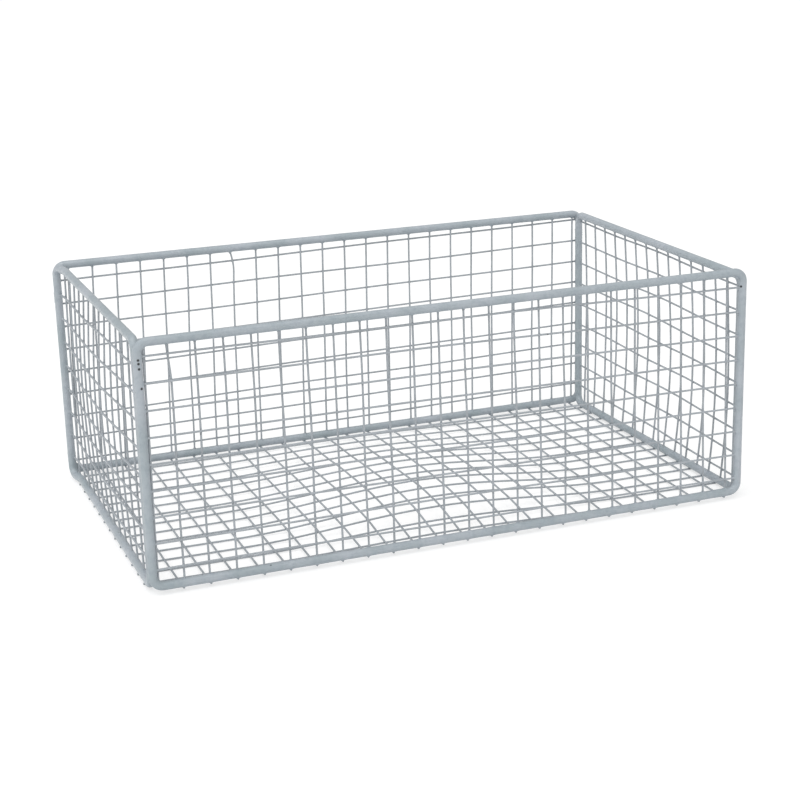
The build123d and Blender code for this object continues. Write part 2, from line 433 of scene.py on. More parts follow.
def wire_tree() -> Tree:
    """Drawn wire under a coat of paint that is a little thicker here and there."""
    tree = Tree("Painted wire", [
        ("Radius", "NodeSocketFloat", SIZE.wire_seen / 2 * MM),
        ("Sides", "NodeSocketInt", 8),
        ("Ring Spacing", "NodeSocketFloat", 2.0 * MM),
        ("Lump Size", "NodeSocketFloat", 5.0 * MM),
        ("Lump Depth", "NodeSocketFloat", 0.22 * MM),
        ("Seed", "NodeSocketFloat", 1.0),
        ("Finish", "NodeSocketMaterial", None),
    ])
    spline = tree.add("GeometryNodeCurveSplineType", {
        "Curve": tree.given("Geometry"),
    }, spline_type="CATMULL_ROM")
    skin = tree.tube(tree.evenly(spline.outputs[0]), {"Fill Caps": True})
    tree.finish(tree.push_out(skin, tree.coat()))
    return tree


def bead_tree() -> Tree:
    """Weld bead or seam of paint: swollen in ripples along its run and drawn in at its ends."""
    tree = Tree("Rippled bead", [
        ("Radius", "NodeSocketFloat", 2.0 * MM),
        ("Sides", "NodeSocketInt", 14),
        ("Ring Spacing", "NodeSocketFloat", 0.6 * MM),
        ("Ripple Pitch", "NodeSocketFloat", 2.4 * MM),
        ("Ripple Depth", "NodeSocketFloat", 0.3 * MM),
        ("End Length", "NodeSocketFloat", 3.0 * MM),
        ("End Share", "NodeSocketFloat", 0.01),
        ("Lump Size", "NodeSocketFloat", 4.0 * MM),
        ("Lump Depth", "NodeSocketFloat", 0.7 * MM),
        ("Seed", "NodeSocketFloat", 1.0),
        ("Finish", "NodeSocketMaterial", None),
    ])
    even = tree.evenly(tree.given("Geometry"))
    run = tree.add("GeometryNodeSplineParameter").outputs["Length"]
    whole = tree.add("GeometryNodeSplineLength").outputs["Length"]
    to_end = tree.math("MINIMUM", run, tree.math("SUBTRACT", whole, run))
    share = tree.math("MINIMUM", tree.math("DIVIDE", to_end, tree.given("End Length")), 1.0)
    taper = tree.math("SQRT", tree.math("MAXIMUM", share, tree.given("End Share")))
    turn = tree.math("DIVIDE", run, tree.given("Ripple Pitch"))
    wave = tree.math("ABSOLUTE", tree.math("SINE", tree.math("MULTIPLY", turn, math.pi)))
    ripple = tree.add("GeometryNodeCaptureAttribute", {"Geometry": even}, domain="POINT")
    ripple.capture_items.new("FLOAT", "Ripple")
    tree.feed(ripple.inputs["Ripple"], wave)
    skin = tree.tube(ripple.outputs[0], {"Fill Caps": True, "Scale": taper})
    swell = tree.math("MULTIPLY", ripple.outputs["Ripple"], tree.given("Ripple Depth"))
    tree.finish(tree.push_out(skin, tree.math("ADD", tree.coat(), swell)))
    return tree


def nugget_tree() -> Tree:
    """Paint pooled over the spot weld at each crossing: a small flat lens, each a little different."""
    tree = Tree("Spot welds", [
        ("Radius", "NodeSocketFloat", 0.95 * MM),
        ("Segments", "NodeSocketInt", 8),
        ("Rings", "NodeSocketInt", 4),
        ("Flatness", "NodeSocketFloat", 0.8),
        ("Unevenness", "NodeSocketFloat", 0.22),
        ("Facing", "NodeSocketVector", (0.0, 0.0, 1.0)),
        ("Seed", "NodeSocketInt", 1),
        ("Finish", "NodeSocketMaterial", None),
    ])
    ball = tree.add("GeometryNodeMeshUVSphere", {
        "Segments": tree.given("Segments"), "Rings": tree.given("Rings"), "Radius": tree.given("Radius"),
    })
    align = tree.add("FunctionNodeAlignEulerToVector", {"Vector": tree.given("Facing")}, axis="Z")
    # The random value's inputs 2 and 3 are the least and the greatest plain number, its output 1 the draw
    low = tree.math("SUBTRACT", 1.0, tree.given("Unevenness"))
    high = tree.math("ADD", 1.0, tree.given("Unevenness"))
    wide = tree.add("FunctionNodeRandomValue", {
        2: low, 3: high, "Seed": tree.given("Seed"),
    }, data_type="FLOAT").outputs[1]
    size = tree.add("ShaderNodeCombineXYZ", {
        "X": wide, "Y": wide, "Z": tree.math("MULTIPLY", wide, tree.given("Flatness")),
    })
    dots = tree.add("GeometryNodeInstanceOnPoints", {
        "Points": tree.given("Geometry"), "Instance": ball.outputs[0],
        "Rotation": align.outputs[0], "Scale": size.outputs[0],
    })
    tree.finish(dots.outputs[0])
    return tree


def into_scene(name: str, data: bpy.types.ID) -> bpy.types.Object:
    """Put an object made of that data into the scene."""
    piece = bpy.data.objects.new(name, data)
    bpy.context.scene.collection.objects.link(piece)
    return piece


def guide_curves(lines: Iterable[Line]) -> bpy.types.Object:
    """A curve object with one poly spline for each guide.

    Args:
        lines: The guides.

    Returns:
        The new object, linked into the scene.
    """
    data = bpy.data.curves.new("guide", "CURVE")
    data.dimensions = "3D"
    for line in lines:
        spline = data.splines.new("POLY")
        spline.points.add(len(line.points) - 1)
        for point, place in zip(spline.points, line.points):
            point.co = (*place, 1.0)
        spline.use_cyclic_u = line.closed
    return into_scene("guide", data)


def guide_points(points: Sequence[Vector], edges: Sequence[Tuple[int, int]] = ()) -> bpy.types.Object:
    """A mesh of points, and edges where there are any.

    Args:
        points: The points in metres.
        edges: Pairs of places in the list of points.

    Returns:
        The new object, linked into the scene.
    """
    data = bpy.data.meshes.new("points")
    data.from_pydata([tuple(p) for p in points], list(edges), [])
    return into_scene("points", data)


def grow(name: str, guide: bpy.types.Object, tree: Tree, **values: object) -> bpy.types.Object:
    """Run a tree on a guide and keep the result as a plain mesh.

    Args:
        name: The finished piece's name.
        guide: The object that the tree starts from, which is used up.
        tree: The tree.
        **values: The tree's inputs, with underscores for spaces.

    Returns:
        The finished piece, with nothing left to evaluate.
    """
    modifier = guide.modifiers.new(tree.graph.name, "NODES")
    modifier.node_group = tree.graph
    for key, value in values.items():
        modifier[tree.sockets[key.replace("_", " ")]] = value
    bpy.context.view_layer.update()
    made = guide.evaluated_get(bpy.context.evaluated_depsgraph_get())
    mesh = bpy.data.meshes.new_from_object(made)
    mesh.name = name
    guide.modifiers.remove(modifier)
    bpy.data.objects.remove(guide)
    log.info("%s: %d faces", name, len(mesh.polygons))
    return into_scene(name, mesh)


# Finishes


def linear(hex_colour: str) -> Tuple[float, float, float, float]:
    """Turn a screen colour into the linear one that shaders use.

    Args:
        hex_colour: Six hex digits, with or without a leading mark.

    Returns:
        Red, green, blue and full alpha.
    """
    digits = hex_colour.lstrip("#")
    out = []
    for i in (0, 2, 4):
        value = int(digits[i:i + 2], 16) / 255
        out.append(value / 12.92 if value <= 0.04045 else ((value + 0.055) / 1.055) ** 2.4)
    return (out[0], out[1], out[2], 1.0)


# The stretch of a cloudy pattern that turns into a soft change, or into patches
SOFT = (0.3, 0.7)
PATCHY = (0.42, 0.68)


@dataclass(frozen=True)
class Finish:
    """A painted finish: its name, colours, gloss, and the sizes of its unevenness in millimetres.

    The colour drifts from base to pale in clouds and is worn toward deep in mottled patches, more so beside
    the welds. On the rods' under sides it is drawn toward deep as painted shade. Pits are rare tiny holes
    all over, and pinholes are places where the photograph shows one. A pit's edge is a share of the pits'
    spacing.
    """

    name: str
    base: str
    pale: str
    deep: str
    cloud: float
    mottle: float
    peel: float
    bump: float
    roughness: Span
    coat: float
    coat_roughness: float = 0.22
    gloss_patch: float = 1.7
    peel_depth: float = 0.10
    wear: float = 0.3
    weld_wear: float = 0.5
    # Share of the deep colour painted onto the rods' under sides as painted shade
    painted_underside_shade: float = 0.5
    pit: str = "#23282C"
    pit_spacing: float = 11.0
    pit_rarity: float = 0.86
    pit_edge: Span = (0.055, 0.025)
    pit_depth: float = 0.4
    pinhole_edge: Span = (1.1, 0.6)
    pinholes: Tuple[Vector, ...] = ()


ROD_PAINT = Finish("Thick pale blue-grey enamel on bent rod", base="#9FAAAF", pale="#B1B8BF", deep="#85929D",
                   cloud=34.0, mottle=3.2, peel=0.9, bump=0.14, roughness=(0.34, 0.5), coat=0.25)
WIRE_PAINT = Finish("Thin pale grey enamel on drawn wire", base="#A0A6AB", pale="#ACB2B8", deep="#8B9399",
                    cloud=26.0, mottle=2.4, peel=0.7, bump=0.08, roughness=(0.4, 0.55), coat=0.1)
WELD_PAINT = Finish("Enamel pooled over weld beads", base="#9AA2AA", pale="#ABB3B8", deep="#828D95",
                    cloud=15.0, mottle=2.2, peel=0.8, bump=0.2, roughness=(0.32, 0.5), coat=0.25)


class Shader(Nodes):
    """A material's nodes."""

    def __init__(self, name: str):
        """Start a material of that name.

        Args:
            name: The real finish's name.
        """
        self.material = bpy.data.materials.new(name)
        self.material.use_nodes = True
        self.graph = self.material.node_tree
        self.graph.nodes.clear()
        self.output = self.add("ShaderNodeOutputMaterial")
        self.surface = self.add("ShaderNodeBsdfPrincipled")
        self.feed(self.output.inputs[0], self.surface.outputs[0])
        self.place = self.add("ShaderNodeTexCoord").outputs["Object"]

    def wear(self, values: Dict[str, object]) -> None:
        """Set or link the surface's own inputs by name."""
        for name, value in values.items():
            self.feed(self.surface.inputs[name], value)

    def clouds(self, size: float, detail: float = 3.0, roughness: float = 0.5, seed: float = 0.0) -> Socket:
        """Cloudy pattern whose patches are about that many millimetres across."""
        return self.noise(self.place, 1 / (size * MM), detail, roughness, seed)

    def span(self, value: Socket, low: float, high: float, to_low: float = 0.0,
             to_high: float = 1.0) -> Socket:
        """Stretch a value's range from low..high to another, smoothly and without going past it."""
        return self.add("ShaderNodeMapRange", {
            "Value": value, "From Min": low, "From Max": high, "To Min": to_low, "To Max": to_high,
        }, interpolation_type="SMOOTHSTEP", clamp=True).outputs[0]

    def mix(self, share: Socket, first: object, second: object) -> Socket:
        """Blend two colours, which are the mixing node's inputs 6 and 7."""
        return self.add("ShaderNodeMix", {0: share, 6: first, 7: second}, data_type="RGBA").outputs[2]

    def stored(self, name: str) -> Socket:
        """A number that the piece's tree stored with its points, or none."""
        return self.add("ShaderNodeAttribute", attribute_name=name).outputs["Fac"]

    def pits(self, finish: Finish) -> Socket:
        """Where gas has come through the coat: a few tiny pits anywhere, and the pinholes in their places.

        Args:
            finish: The finish's own values.

        Returns:
            One in a pit, and nothing beside it.
        """
        cells = self.add("ShaderNodeTexVoronoi", {
            "Vector": self.place, "Scale": 1 / (finish.pit_spacing * MM), "Randomness": 1.0,
        }, feature="F1")
        draw = self.add("ShaderNodeSeparateColor", {0: cells.outputs["Color"]}).outputs[0]
        rare = self.math("GREATER_THAN", draw, finish.pit_rarity)
        dot = self.math("MULTIPLY", self.span(cells.outputs["Distance"], *finish.pit_edge), rare)
        outer, inner = finish.pinhole_edge
        for place in finish.pinholes:
            away = self.add("ShaderNodeVectorMath", {0: self.place, 1: tuple(place)}, operation="DISTANCE")
            dot = self.math("MAXIMUM", dot, self.span(away.outputs["Value"], outer * MM, inner * MM))
        return dot


def painted(finish: Finish) -> bpy.types.Material:
    """Enamel over steel: cloudy colour, mottled round the welds, with lumps, orange peel and pinholes.

    Args:
        finish: The finish's own values.

    Returns:
        The material.
    """
    shader = Shader(finish.name)
    cloud = shader.span(shader.clouds(finish.cloud), *SOFT)
    mottle = shader.span(shader.clouds(finish.mottle, detail=4.0, roughness=0.6, seed=3.0), *PATCHY)
    beside = shader.math("MULTIPLY", shader.stored("weld"), finish.weld_wear)
    worn = shader.math("MULTIPLY", mottle, shader.math("ADD", finish.wear, beside))
    colour = shader.mix(cloud, linear(finish.base), linear(finish.pale))
    colour = shader.mix(worn, colour, linear(finish.deep))
    # Painted shade: the rods' under sides are drawn toward the deep colour, as if less lit
    under = shader.math("MULTIPLY", shader.stored("under"), finish.painted_underside_shade)
    colour = shader.mix(under, colour, linear(finish.deep))
    dot = shader.pits(finish)
    gloss = shader.clouds(finish.mottle * finish.gloss_patch, seed=7.0)
    peel = shader.math("MULTIPLY", shader.clouds(finish.peel, detail=2.0, seed=11.0),
                       finish.peel * finish.peel_depth * MM)
    swell = shader.math("MULTIPLY", shader.clouds(finish.mottle, seed=5.0), finish.bump * MM)
    depth = shader.math("SUBTRACT", shader.math("ADD", peel, swell),
                        shader.math("MULTIPLY", dot, finish.pit_depth * MM))
    bump = shader.add("ShaderNodeBump", {"Height": depth, "Strength": 1.0, "Distance": 1.0})
    shader.wear({
        "Base Color": shader.mix(dot, colour, linear(finish.pit)),
        "Roughness": shader.span(gloss, *SOFT, *finish.roughness),
        "Normal": bump.outputs[0],
        "Coat Weight": finish.coat,
        "Coat Roughness": finish.coat_roughness,
    })
    return shader.material


# The basket


@dataclass
class Basket:
    """The whole basket: its panels' places, and what is built on them."""

    shift: Vector
    panels: Dict[Side, Panel] = field(default_factory=dict)
    corners: Dict[str, Vector] = field(default_factory=dict)
    landings: List[Tuple[Vector, Vector]] = field(default_factory=list)

    def __post_init__(self) -> None:
        """Set the posts' feet and the walls on them."""
        half = SIZE.depth / 2
        left, right = Vector((-1, 0, 0)), Vector((1, 0, 0))
        forward, backward = Vector((0, -1, 0)), Vector((0, 1, 0))
        front_left = self.shift + Vector((-SIZE.front_length / 2, -half, 0))
        front_right = self.shift + Vector((SIZE.front_length / 2, -half, 0))
        back_left = self.shift + Vector((SIZE.back_shift - SIZE.back_length / 2, half, 0))
        back_right = self.shift + Vector((SIZE.back_shift + SIZE.back_length / 2, half, 0))
        self.corners = {
            "front_left": front_left, "front_right": front_right,
            "back_left": back_left, "back_right": back_right,
            "left_front": self.beside(front_left, left, SIZE.front_left_out, backward),
            "left_back": self.beside(back_left, left, SIZE.back_left_out, forward),
            "right_front": self.beside(front_right, right, SIZE.front_right_out, backward),
            "right_back": self.beside(back_right, right, SIZE.back_right_out, forward),
        }
        lower, drop = SIZE.back_lower, SIZE.right_front_drop
        self.stand(Side.FRONT, "front_left", "front_right", bulge=0.5, seed=1)
        self.stand(Side.BACK, "back_right", "back_left", bulge=0.4, seed=2, left_drop=lower,
                   right_drop=lower)
        # The left frame's back post leans out of its rails' plane, in line with the back frame's post
        self.stand(Side.LEFT, "left_back", "left_front", bulge=3.6, seed=3, left_drop=lower, shoulder=3.4)
        self.stand(Side.RIGHT, "right_front", "right_back", bulge=2.2, seed=4, left_drop=drop,
                   right_drop=lower)

    @staticmethod
    def beside(post: Vector, outward: Vector, gap: float, inward: Vector) -> Vector:
        """Foot of the side post beside a front or back post: out by the gap, and one wire lower."""
        return post + outward * gap + inward * math.sqrt(SIZE.rod_pitch**2 - gap**2) - UP * SIZE.wire

    def stand(self, side: Side, first: str, last: str, bulge: float, seed: int, left_drop: float = 0.0,
              right_drop: float = 0.0, shoulder: float = 0.0) -> None:
        """Stand a wall on the feet of its two posts, left and right as seen from outside.

        Args:
            side: Which wall.
            first: The left-hand post.
            last: The right-hand post.
            bulge: How far its mesh stands out in the middle.
            seed: Sets the mesh's own waves.
            left_drop: How much lower its top is at the left-hand post.
            right_drop: How much lower its top is at the right-hand post.
            shoulder: How far its left-hand post leans out.
        """
        start, end = self.corners[first], self.corners[last]
        run = end - start
        full = self.shift.z + SIZE.height
        self.panels[side] = Panel(start, run.normalized(), run.length, full - left_drop - start.z,
                                  full - right_drop - end.z, bulge, seed, shoulder)

    def rail_x(self, side: Side, y: float) -> float:
        """Where a side wall's rail crosses a line across the basket."""
        wall = self.panels[side]
        along = (y - wall.origin.y) / wall.along.y
        return (wall.origin + wall.along * along).x

    def land(self, start: Vector, end: Vector) -> None:
        """Note where a wire touches a rod, for the paint that gathers there."""
        self.landings.append((start, end))


# Pits seen in the posts' paint beside the welds: the post, the bearing in degrees, and the height
PITS_SEEN = (
    ("front_left", -92, 157.0), ("front_left", -89, 154.6), ("front_left", -86, 151.1),
    ("front_left", -70, 138.0), ("front_right", -142, 157.6),
)


def pits(basket: Basket) -> Tuple[Vector, ...]:
    """Places where gas has burst through the paint beside the welds.

    Args:
        basket: The basket with its posts.

    Returns:
        Points on the posts' skins in metres.
    """
    places = []
    for post, bearing, height in PITS_SEEN:
        turn = math.radians(bearing)
        skin = Vector((math.cos(turn), math.sin(turn), 0.0)) * SIZE.rod_radius
        places.append((basket.corners[post] + skin + UP * height) * MM)
    return tuple(places)


@dataclass
class Wardrobe:
    """The finishes, and the trees that make the pieces."""

    rod: bpy.types.Material
    wire: bpy.types.Material
    weld: bpy.types.Material
    rods: Tree
    wires: Tree
    beads: Tree
    nuggets: Tree


def place(piece: bpy.types.Object, slot: str, *nodes: str) -> None:
    """Set a finished piece in the frame.

    Args:
        piece: The piece.
        slot: The record's material slot; not used.
        *nodes: The CAD nodes that it stands for.
    """
    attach(piece, "root")
    if nodes:
        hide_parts(*nodes)


def meeting(first: Sequence[Vector], second: Sequence[Vector], wall: Panel) -> Vector:
    """Point between two wires where they cross, seen square to their wall.

    Args:
        first: The upright's points.
        second: The level wire's points.
        wall: Their wall.

    Returns:
        The point in metres.
    """
    def flat(point: Vector) -> Span:
        """Place along and up the wall."""
        return point.dot(wall.along), point.dot(UP)

    shortest, slack = 1e-9, 0.01
    best, found = math.inf, first[0]
    level = [flat(p) for p in second]
    for a, b in zip(first, first[1:]):
        (ax, az), (bx, bz) = flat(a), flat(b)
        for i in range(len(level) - 1):
            (cx, cz), (dx, dz) = level[i], level[i + 1]
            if dx - cx < shortest:
                continue
            # The upright is nearly plumb, so its own place along picks the run of level wire
            t = (0.5 * (ax + bx) - cx) / (dx - cx)
            if not -slack <= t <= 1.0 + slack:
                continue
            up = cz + (dz - cz) * t
            s = (up - az) / (bz - az)
            miss = max(-s, s - 1.0, 0.0)
            if miss < best:
                best = miss
                on_first = a + (b - a) * s
                on_second = second[i] + (second[i + 1] - second[i]) * t
                found = (on_first + on_second) / 2
    return found


@dataclass
class WallMesh:
    """A wall's welded mesh in the plane of its frame: uprights, and level wires across their outer sides.

    Tops, middles and feet are the uprights' places along the panel at the top rail, at half height and at
    the bottom rail. Starts are how far the first level wire lies under the top rail at both posts, and foot
    is how far the last one lies over the bottom rail. The level wires are arched up by the arch. A kink is
    an upright's number, the height where it turns aside, and how far it is aside at the top. Landing and
    nugget_at are shares of the rod's radius from a wire's end, for the paint that gathers there.
    """

    panel: Panel
    tops: List[float]
    middles: List[float]
    feet: List[float]
    starts: Span
    foot: float
    levels: int = 9
    arch: float = 0.0
    sway: float = 0.5
    kinks: Dict[int, Span] = field(default_factory=dict)
    upright_waves: float = 5.5
    upright_points: int = 13
    level_waves: float = 9.0
    level_points: int = 23
    landing: Span = (0.9, 1.3)
    nugget_at: Span = (1.0, 1.25)
    upright_seed: float = 3.1
    level_seed: float = 5.7

    @property
    def spacing(self) -> float:
        """Distance between level wires."""
        return (self.panel.left_height - self.starts[0] - self.foot) / (self.levels - 1)

    def level_height(self, index: int, share: float) -> float:
        """Height of a level wire above the bottom rail, from its first post, 0, to its last, 1."""
        left = self.panel.left_height - self.starts[0]
        right = self.panel.right_height - self.starts[1]
        return left + (right - left) * share - index * self.spacing

    def draw_sway(self, rng: random.Random) -> Span:
        """One wire's own sway: where its wave starts, and its size."""
        return rng.uniform(*SWAY_START), self.sway * rng.uniform(*SWAY_SHARE)

    def upright(self, index: int, rng: random.Random) -> Line:
        """One upright from rail to rail, through its place at half height, with a slight sway.

        Args:
            index: Which upright, from the left-hand post.
            rng: Source of the sway.

        Returns:
            The wire's guide.
        """
        wall = self.panel
        top, middle, foot = self.tops[index], self.middles[index], self.feet[index]
        high = wall.top(top)
        bow = middle - (top + foot) / 2
        start, size = self.draw_sway(rng)
        kink_height, kink = self.kinks.get(index, (0.0, 0.0))
        points = []
        for share in spread(0.0, 1.0, self.upright_points):
            up = high * share
            along = foot + (top - foot) * share + arc(bow, share)
            along += size * math.sin(start + self.upright_waves * share) * hump(share)
            if kink and up > kink_height:
                along += kink * (up - kink_height) / (high - kink_height)
            points.append(wall.at(along, up, wall.swell(along, up) - SIZE.wire_seen / 2))
        return Line(points)

    def level(self, index: int, rng: random.Random) -> Line:
        """One level wire from post to post.

        Args:
            index: Which wire, from the top.
            rng: Source of the sway.

        Returns:
            The wire's guide.
        """
        wall = self.panel
        start, size = self.draw_sway(rng)
        points = []
        for share in spread(0.0, 1.0, self.level_points):
            along = wall.length * share
            up = self.level_height(index, share) + arc(self.arch, share)
            up += size * math.sin(start + self.level_waves * share) * hump(share)
            points.append(wall.at(along, up, wall.swell(along, up) + SIZE.wire_seen / 2))
        return Line(points)

    def build(self, name: str, basket: Basket, wardrobe: Wardrobe) -> None:
        """Make the wall's wires and the spot welds at their crossings.

        Args:
            name: The wall's name, which also sets its random sways.
            basket: The basket, which notes where the wires land.
            wardrobe: The finishes and trees.
        """
        rng = random.Random(name)
        wall = self.panel
        uprights = [self.upright(i, rng) for i in range(len(self.tops))]
        levels = [self.level(i, rng) for i in range(self.levels)]
        crossings = [meeting(upright.points, level.points, wall) for upright in uprights for level in levels]
        near, far = self.landing
        for wire in uprights + levels:
            # Each wire ends inside a rod, and paint runs out a little way along it from the rod's skin
            for end, inner in wire.ends:
                run = (inner - end).normalized() * SIZE.rod_radius * MM
                basket.land(end + run * near, end + run * far)
                crossings.append(end + run * rng.uniform(*self.nugget_at))
        place(grow(f"{name}_upright_wires", guide_curves(uprights), wardrobe.wires,
                   Seed=wall.seed * self.upright_seed, Finish=wardrobe.wire),
              "painted_wire", f"{name}_uprights")
        place(grow(f"{name}_level_wire_run", guide_curves(levels), wardrobe.wires,
                   Seed=wall.seed * self.level_seed, Finish=wardrobe.wire),
              "painted_wire", f"{name}_level_wires")
        place(grow(f"{name}_spot_welds", guide_points(crossings), wardrobe.nuggets,
                   Facing=tuple(wall.outward), Seed=wall.seed, Finish=wardrobe.wire), "painted_wire")


def wall_meshes(basket: Basket) -> Dict[Side, WallMesh]:
    """The four walls' meshes with every wire's place, in millimetres from the left-hand post.

    Args:
        basket: The basket with its panels.

    Returns:
        The meshes by side.
    """
    front, back = basket.panels[Side.FRONT], basket.panels[Side.BACK]
    left, right = basket.panels[Side.LEFT], basket.panels[Side.RIGHT]
    front_tops = [4.1, 21.1] + spread(38.4, front.length - 12.8, 22)
    front_feet = [3.8, 21.6] + spread(39.1, front.length - 9.6, 22)
    back_tops = spread(6.8, back.length - 9.35, 24)
    back_feet = spread(7.6, back.length - 4.75, 24)
    left_tops = spread(14.0, left.length - 6.0, 14)
    left_feet = spread(10.0, left.length - 6.0, 14)
    right_tops = spread(17.8, 245.3, 14)
    right_middles = [top + bow for top, bow in zip(right_tops, spread(-4.2, -1.6, 14))]
    right_feet = [top + lean for top, lean in zip(right_tops, spread(2.3, 0.5, 14))]

    def halfway(tops: List[float], feet: List[float]) -> List[float]:
        """Places at half height of straight wires."""
        return [(top + foot) / 2 for top, foot in zip(tops, feet)]

    return {
        Side.FRONT: WallMesh(front, front_tops, halfway(front_tops, front_feet), front_feet,
                             starts=(9.3, 11.2), foot=12.2, arch=1.0, kinks={1: (140.0, -1.8)}),
        Side.BACK: WallMesh(back, back_tops, halfway(back_tops, back_feet), back_feet,
                            starts=(5.2, 12.4), foot=14.5, kinks={16: (156.0, 3.0)}),
        Side.LEFT: WallMesh(left, left_tops, halfway(left_tops, left_feet), left_feet,
                            starts=(21.7, 17.4), foot=14.0, levels=8, sway=0.7),
        Side.RIGHT: WallMesh(right, right_tops, right_middles, right_feet,
                             starts=(8.3, 5.5), foot=9.3, sway=0.8),
    }


@dataclass(frozen=True)
class Bulge:
    """How the bottom mesh is pushed up, in millimetres.

    Heights is a row of heights from front to back, a step apart, in the middle of the length. They fade in
    a bell over half the width. The ripple is a small unevenness over the whole bottom.
    """

    middle: float = 5.0
    half_width: float = 152.0
    front: float = -118.0
    step: float = 18.75
    heights: Tuple[float, ...] = (2.4, 5.4, 8.1, 9.3, 9.9, 9.7, 9.1, 8.2, 7.6, 6.3, 5.0, 4.1, 3.4, 1.9)
    ripple: float = 0.35
    ripple_length: Span = (31.0, 43.0)

    def rise(self, x: float, y: float) -> float:
        """Height of the mesh above its flat place.

        Args:
            x: Place along the length, from the basket's middle.
            y: Place along the depth, from the basket's middle.

        Returns:
            The height.
        """
        half = SIZE.depth / 2
        edge = hump((y + half) / SIZE.depth)
        across = hump(x / SIZE.front_length + 0.5)
        wave = math.sin(x / self.ripple_length[0]) * math.cos(y / self.ripple_length[1])
        ripple = self.ripple * edge * across * (1 + wave)
        away = abs(x - self.middle) / self.half_width
        if away >= 1:
            return ripple
        row = [0.0, *self.heights, 0.0]
        places = [-half] + [self.front + self.step * i for i in range(len(self.heights))] + [half]
        height = 0.0
        for a, b, low, high in zip(places, places[1:], row, row[1:]):
            if a <= y <= b:
                height = low + (high - low) * (y - a) / (b - a)
        return height * 0.5 * (1 + math.cos(math.pi * away)) + ripple


def crossing(first: Sequence[Vector], second: Sequence[Vector]) -> Vector:
    """Point between a depth wire and a length wire where they cross, seen from above.

    Args:
        first: The depth wire's points, from front to back.
        second: The length wire's points, from left to right.

    Returns:
        The point in metres.
    """
    rounds = 3
    x, y = first[0].x, second[0].y
    a = b = first[0]
    for _ in range(rounds):
        a = on_line(first, 1, y)
        b = on_line(second, 0, x)
        x, y = a.x, b.y
    return (a + b) / 2


def on_line(points: Sequence[Vector], axis: int, value: float) -> Vector:
    """Point of a wire where one of its coordinates has a value."""
    for a, b in zip(points, points[1:]):
        if a[axis] <= value <= b[axis]:
            return a.lerp(b, (value - a[axis]) / (b[axis] - a[axis]))
    return points[0] if value < points[0][axis] else points[-1]


